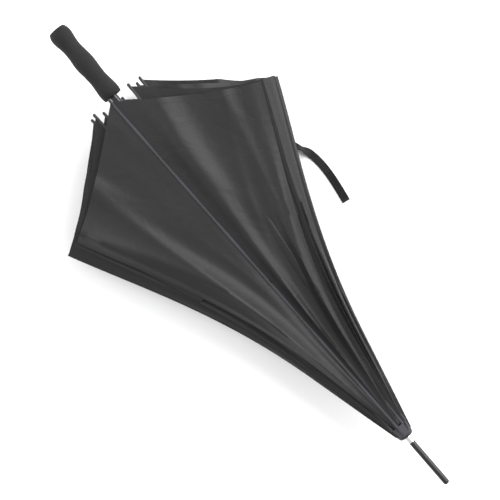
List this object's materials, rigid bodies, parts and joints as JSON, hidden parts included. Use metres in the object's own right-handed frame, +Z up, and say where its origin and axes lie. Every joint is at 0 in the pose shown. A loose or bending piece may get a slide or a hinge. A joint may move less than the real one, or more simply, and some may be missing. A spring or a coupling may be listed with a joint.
{
  "type": "golf umbrella",
  "caption": "Long manual stick umbrella lying closed with its dark cloth canopy loose, straight foam grip, steel shaft, folding ribs and a long rounded ferrule.",
  "frame": {"origin": "centre of the grip's flat butt face, on the shaft's axis", "axes": "+X along the shaft from the grip to the ferrule, +Z up as the umbrella lies, +Y to its left seen from the grip"},
  "size_m": [1.014, 0.5072, 0.1207],
  "materials": {
    "shaft_steel": "satin bright steel tube",
    "grip_foam": "fine matt closed-cell foam",
    "core_plastic": "plain moulded plastic",
    "cap_plastic": "semi-matt moulded plastic",
    "ferrule_plastic": "smooth black plastic",
    "collar_chrome": "polished plated ring",
    "hub_plastic": "moulded plastic",
    "wire_steel": "bare spring steel",
    "frame_paint": "black painted steel",
    "canopy_cloth": "satin plain-weave polyester",
    "strap_webbing": "flat woven tape",
    "strap_hook": "hook tape"
  },
  "bodies": {
    "shaft": {"shaft": "shaft_steel", "grip": "grip_foam", "handle_core": "core_plastic", "crown": "cap_plastic", "ferrule": "ferrule_plastic", "collar": "collar_chrome", "tip_plug": "core_plastic", "notch": "hub_plastic", "notch_wire": "wire_steel", "runner_stop": "wire_steel"},
    "rib_1": {"rib_1": "frame_paint", "tip_1": "cap_plastic"},
    "stretcher_1": {"stretcher_1": "frame_paint"},
    "rib_2": {"rib_2": "frame_paint", "tip_2": "cap_plastic"},
    "stretcher_2": {"stretcher_2": "frame_paint"},
    "rib_3": {"rib_3": "frame_paint", "tip_3": "cap_plastic"},
    "stretcher_3": {"stretcher_3": "frame_paint"},
    "rib_4": {"rib_4": "frame_paint", "tip_4": "cap_plastic"},
    "stretcher_4": {"stretcher_4": "frame_paint"},
    "rib_5": {"rib_5": "frame_paint", "tip_5": "cap_plastic"},
    "stretcher_5": {"stretcher_5": "frame_paint"},
    "rib_6": {"rib_6": "frame_paint", "tip_6": "cap_plastic"},
    "stretcher_6": {"stretcher_6": "frame_paint"},
    "rib_7": {"rib_7": "frame_paint", "tip_7": "cap_plastic"},
    "stretcher_7": {"stretcher_7": "frame_paint"},
    "rib_8": {"rib_8": "frame_paint", "tip_8": "cap_plastic"},
    "stretcher_8": {"stretcher_8": "frame_paint"},
    "runner": {"runner": "hub_plastic", "runner_wire": "wire_steel"},
    "panel_1_after": {"panel_1_after": "canopy_cloth"},
    "panel_2_before": {"panel_2_before": "canopy_cloth"},
    "panel_2_after": {"panel_2_after": "canopy_cloth"},
    "panel_3_before": {"panel_3_before": "canopy_cloth"},
    "panel_3_after": {"panel_3_after": "canopy_cloth"},
    "panel_4_before": {"panel_4_before": "canopy_cloth"},
    "panel_4_after": {"panel_4_after": "canopy_cloth"},
    "panel_5_before": {"panel_5_before": "canopy_cloth"},
    "panel_5_after": {"panel_5_after": "canopy_cloth"},
    "panel_6_before": {"panel_6_before": "canopy_cloth"},
    "panel_6_after": {"panel_6_after": "canopy_cloth"},
    "panel_7_before": {"panel_7_before": "canopy_cloth"},
    "panel_7_after": {"panel_7_after": "canopy_cloth"},
    "panel_8_before": {"panel_8_before": "canopy_cloth"},
    "panel_8_after": {"panel_8_after": "canopy_cloth"},
    "panel_1_before": {"panel_1_before": "canopy_cloth"},
    "lower_catch": {"lower_catch": "wire_steel"},
    "upper_catch": {"upper_catch": "wire_steel"},
    "strap": {"strap": "strap_webbing", "strap_patch": "strap_hook"}
  },
  "joints": [
    {"name": "canopy_open", "type": "hinge", "parent": "shaft", "child": "rib_1", "pos_m": [0.893, 0.01083, 0.00191], "axis": [0, 0.1736, -0.9848], "range_deg": [0, 57.9], "deforming": ["panel_1_before", "panel_1_after", "panel_2_before", "panel_2_after", "panel_3_before", "panel_3_after", "panel_4_before", "panel_4_after", "panel_5_before", "panel_5_after", "panel_6_before", "panel_6_after", "panel_7_before", "panel_7_after", "panel_8_before", "panel_8_after"]},
    {"name": "stretcher_1_fold", "type": "hinge", "parent": "rib_1", "child": "stretcher_1", "pos_m": [0.55849, 0.02867, 0.00506], "axis": [0, 0.1736, -0.9848], "range_deg": [-115.8, 0]},
    {"name": "rib_2_open", "type": "hinge", "parent": "shaft", "child": "rib_2", "pos_m": [0.893, 0.00631, 0.00901], "axis": [0, 0.8192, -0.5736], "range_deg": [0, 57.9]},
    {"name": "stretcher_2_fold", "type": "hinge", "parent": "rib_2", "child": "stretcher_2", "pos_m": [0.55849, 0.0167, 0.02385], "axis": [0, 0.8192, -0.5736], "range_deg": [-115.8, 0]},
    {"name": "rib_3_open", "type": "hinge", "parent": "shaft", "child": "rib_3", "pos_m": [0.893, -0.00191, 0.01083], "axis": [0, 0.9848, 0.1736], "range_deg": [0, 57.9]},
    {"name": "stretcher_3_fold", "type": "hinge", "parent": "rib_3", "child": "stretcher_3", "pos_m": [0.55849, -0.00506, 0.02867], "axis": [0, 0.9848, 0.1736], "range_deg": [-115.8, 0]},
    {"name": "rib_4_open", "type": "hinge", "parent": "shaft", "child": "rib_4", "pos_m": [0.893, -0.00901, 0.00631], "axis": [0, 0.5736, 0.8192], "range_deg": [0, 57.9]},
    {"name": "stretcher_4_fold", "type": "hinge", "parent": "rib_4", "child": "stretcher_4", "pos_m": [0.55849, -0.02385, 0.0167], "axis": [0, 0.5736, 0.8192], "range_deg": [-115.8, 0]},
    {"name": "rib_5_open", "type": "hinge", "parent": "shaft", "child": "rib_5", "pos_m": [0.893, -0.01083, -0.00191], "axis": [0, -0.1736, 0.9848], "range_deg": [0, 57.9]},
    {"name": "stretcher_5_fold", "type": "hinge", "parent": "rib_5", "child": "stretcher_5", "pos_m": [0.55849, -0.02867, -0.00506], "axis": [0, -0.1736, 0.9848], "range_deg": [-115.8, 0]},
    {"name": "rib_6_open", "type": "hinge", "parent": "shaft", "child": "rib_6", "pos_m": [0.893, -0.00631, -0.00901], "axis": [0, -0.8192, 0.5736], "range_deg": [0, 57.9]},
    {"name": "stretcher_6_fold", "type": "hinge", "parent": "rib_6", "child": "stretcher_6", "pos_m": [0.55849, -0.0167, -0.02385], "axis": [0, -0.8192, 0.5736], "range_deg": [-115.8, 0]},
    {"name": "rib_7_open", "type": "hinge", "parent": "shaft", "child": "rib_7", "pos_m": [0.893, 0.00191, -0.01083], "axis": [0, -0.9848, -0.1736], "range_deg": [0, 57.9]},
    {"name": "stretcher_7_fold", "type": "hinge", "parent": "rib_7", "child": "stretcher_7", "pos_m": [0.55849, 0.00506, -0.02867], "axis": [0, -0.9848, -0.1736], "range_deg": [-115.8, 0]},
    {"name": "rib_8_open", "type": "hinge", "parent": "shaft", "child": "rib_8", "pos_m": [0.893, 0.00901, -0.00631], "axis": [0, -0.5736, -0.8192], "range_deg": [0, 57.9]},
    {"name": "stretcher_8_fold", "type": "hinge", "parent": "rib_8", "child": "stretcher_8", "pos_m": [0.55849, 0.02385, -0.0167], "axis": [0, -0.5736, -0.8192], "range_deg": [-115.8, 0]},
    {"name": "runner_pivot", "type": "hinge", "parent": "stretcher_1", "child": "runner", "pos_m": [0.22398, 0.01083, 0.00191], "axis": [0, 0.1736, -0.9848], "range_deg": [0, 57.9]},
    {"name": "panel_1_after_spread", "type": "hinge", "parent": "rib_1", "child": "panel_1_after", "pos_m": [0.90799, 0.01398, 0.00246], "axis": [0.9985, -0.0533, -0.0094], "range_deg": [0, 118.75]},
    {"name": "panel_2_before_spread", "type": "hinge", "parent": "rib_2", "child": "panel_2_before", "pos_m": [0.90799, 0.00814, 0.01163], "axis": [0.9985, -0.031, -0.0443], "range_deg": [-32.09, 0]},
    {"name": "panel_2_after_spread", "type": "hinge", "parent": "rib_2", "child": "panel_2_after", "pos_m": [0.90799, 0.00814, 0.01163], "axis": [0.9985, -0.031, -0.0443], "range_deg": [0, 153.11]},
    {"name": "panel_3_before_spread", "type": "hinge", "parent": "rib_3", "child": "panel_3_before", "pos_m": [0.90799, -0.00246, 0.01398], "axis": [0.9985, 0.0094, -0.0533], "range_deg": [-2.27, 0]},
    {"name": "panel_3_after_spread", "type": "hinge", "parent": "rib_3", "child": "panel_3_after", "pos_m": [0.90799, -0.00246, 0.01398], "axis": [0.9985, 0.0094, -0.0533], "range_deg": [0, 18.04]},
    {"name": "panel_4_before_spread", "type": "hinge", "parent": "rib_4", "child": "panel_4_before", "pos_m": [0.90799, -0.01163, 0.00814], "axis": [0.9985, 0.0443, -0.031], "range_deg": [-134.74, 0]},
    {"name": "panel_4_after_spread", "type": "hinge", "parent": "rib_4", "child": "panel_4_after", "pos_m": [0.90799, -0.01163, 0.00814], "axis": [0.9985, 0.0443, -0.031], "range_deg": [0, 53.06]},
    {"name": "panel_5_before_spread", "type": "hinge", "parent": "rib_5", "child": "panel_5_before", "pos_m": [0.90799, -0.01398, -0.00246], "axis": [0.9985, 0.0533, 0.0094], "range_deg": [-95.83, 0]},
    {"name": "panel_5_after_spread", "type": "hinge", "parent": "rib_5", "child": "panel_5_after", "pos_m": [0.90799, -0.01398, -0.00246], "axis": [0.9985, 0.0533, 0.0094], "range_deg": [0, 100.98]},
    {"name": "panel_6_before_spread", "type": "hinge", "parent": "rib_6", "child": "panel_6_before", "pos_m": [0.90799, -0.00814, -0.01163], "axis": [0.9985, 0.031, 0.0443], "range_deg": [-48.25, 0]},
    {"name": "panel_6_after_spread", "type": "hinge", "parent": "rib_6", "child": "panel_6_after", "pos_m": [0.90799, -0.00814, -0.01163], "axis": [0.9985, 0.031, 0.0443], "range_deg": [0, 149.31]},
    {"name": "panel_7_before_spread", "type": "hinge", "parent": "rib_7", "child": "panel_7_before", "pos_m": [0.90799, 0.00246, -0.01398], "axis": [0.9985, -0.0094, 0.0533], "range_deg": [-5.51, 0]},
    {"name": "panel_7_after_spread", "type": "hinge", "parent": "rib_7", "child": "panel_7_after", "pos_m": [0.90799, 0.00246, -0.01398], "axis": [0.9985, -0.0094, 0.0533], "range_deg": [0, 25.04]},
    {"name": "panel_8_before_spread", "type": "hinge", "parent": "rib_8", "child": "panel_8_before", "pos_m": [0.90799, 0.01163, -0.00814], "axis": [0.9985, -0.0443, 0.031], "range_deg": [-126.71, 0]},
    {"name": "panel_8_after_spread", "type": "hinge", "parent": "rib_8", "child": "panel_8_after", "pos_m": [0.90799, 0.01163, -0.00814], "axis": [0.9985, -0.0443, 0.031], "range_deg": [0, 71.14]},
    {"name": "panel_1_before_spread", "type": "hinge", "parent": "rib_1", "child": "panel_1_before", "pos_m": [0.90799, 0.01398, 0.00246], "axis": [0.9985, -0.0533, -0.0094], "range_deg": [-77.11, 0]},
    {"name": "lower_catch_press", "type": "hinge", "parent": "shaft", "child": "lower_catch", "pos_m": [0.14, -0.00115, -0.00517], "axis": [0, -0.9763, 0.2164], "range_deg": [0, 5], "stiffness_Nm_per_rad": 0.2, "springref_deg": -5.73},
    {"name": "upper_catch_press", "type": "hinge", "parent": "shaft", "child": "upper_catch", "pos_m": [0.468, -0.00115, -0.00517], "axis": [0, -0.9763, 0.2164], "range_deg": [0, 5], "stiffness_Nm_per_rad": 0.2, "springref_deg": -5.73},
    {"name": "strap_swing", "type": "hinge", "parent": "panel_7_after", "child": "strap", "pos_m": [0.372, 0.156, -0.0638], "axis": [0, 0, 1], "range_deg": [-25, 25]}
  ],
  "couplings": [
    {"joint": "stretcher_1_fold", "follows": "canopy_open", "ratio": -2},
    {"joint": "rib_2_open", "follows": "canopy_open", "ratio": 1},
    {"joint": "stretcher_2_fold", "follows": "canopy_open", "ratio": -2},
    {"joint": "rib_3_open", "follows": "canopy_open", "ratio": 1},
    {"joint": "stretcher_3_fold", "follows": "canopy_open", "ratio": -2},
    {"joint": "rib_4_open", "follows": "canopy_open", "ratio": 1},
    {"joint": "stretcher_4_fold", "follows": "canopy_open", "ratio": -2},
    {"joint": "rib_5_open", "follows": "canopy_open", "ratio": 1},
    {"joint": "stretcher_5_fold", "follows": "canopy_open", "ratio": -2},
    {"joint": "rib_6_open", "follows": "canopy_open", "ratio": 1},
    {"joint": "stretcher_6_fold", "follows": "canopy_open", "ratio": -2},
    {"joint": "rib_7_open", "follows": "canopy_open", "ratio": 1},
    {"joint": "stretcher_7_fold", "follows": "canopy_open", "ratio": -2},
    {"joint": "rib_8_open", "follows": "canopy_open", "ratio": 1},
    {"joint": "stretcher_8_fold", "follows": "canopy_open", "ratio": -2},
    {"joint": "runner_pivot", "follows": "canopy_open", "ratio": 1},
    {"joint": "panel_1_after_spread", "follows": "canopy_open", "ratio": 2.051},
    {"joint": "panel_2_before_spread", "follows": "canopy_open", "ratio": -0.55422},
    {"joint": "panel_2_after_spread", "follows": "canopy_open", "ratio": 2.6443},
    {"joint": "panel_3_before_spread", "follows": "canopy_open", "ratio": -0.039176},
    {"joint": "panel_3_after_spread", "follows": "canopy_open", "ratio": 0.31152},
    {"joint": "panel_4_before_spread", "follows": "canopy_open", "ratio": -2.3271},
    {"joint": "panel_4_after_spread", "follows": "canopy_open", "ratio": 0.91647},
    {"joint": "panel_5_before_spread", "follows": "canopy_open", "ratio": -1.6552},
    {"joint": "panel_5_after_spread", "follows": "canopy_open", "ratio": 1.7441},
    {"joint": "panel_6_before_spread", "follows": "canopy_open", "ratio": -0.83335},
    {"joint": "panel_6_after_spread", "follows": "canopy_open", "ratio": 2.5787},
    {"joint": "panel_7_before_spread", "follows": "canopy_open", "ratio": -0.095084},
    {"joint": "panel_7_after_spread", "follows": "canopy_open", "ratio": 0.43252},
    {"joint": "panel_8_before_spread", "follows": "canopy_open", "ratio": -2.1885},
    {"joint": "panel_8_after_spread", "follows": "canopy_open", "ratio": 1.2287},
    {"joint": "panel_1_before_spread", "follows": "canopy_open", "ratio": -1.3318}
  ]
}
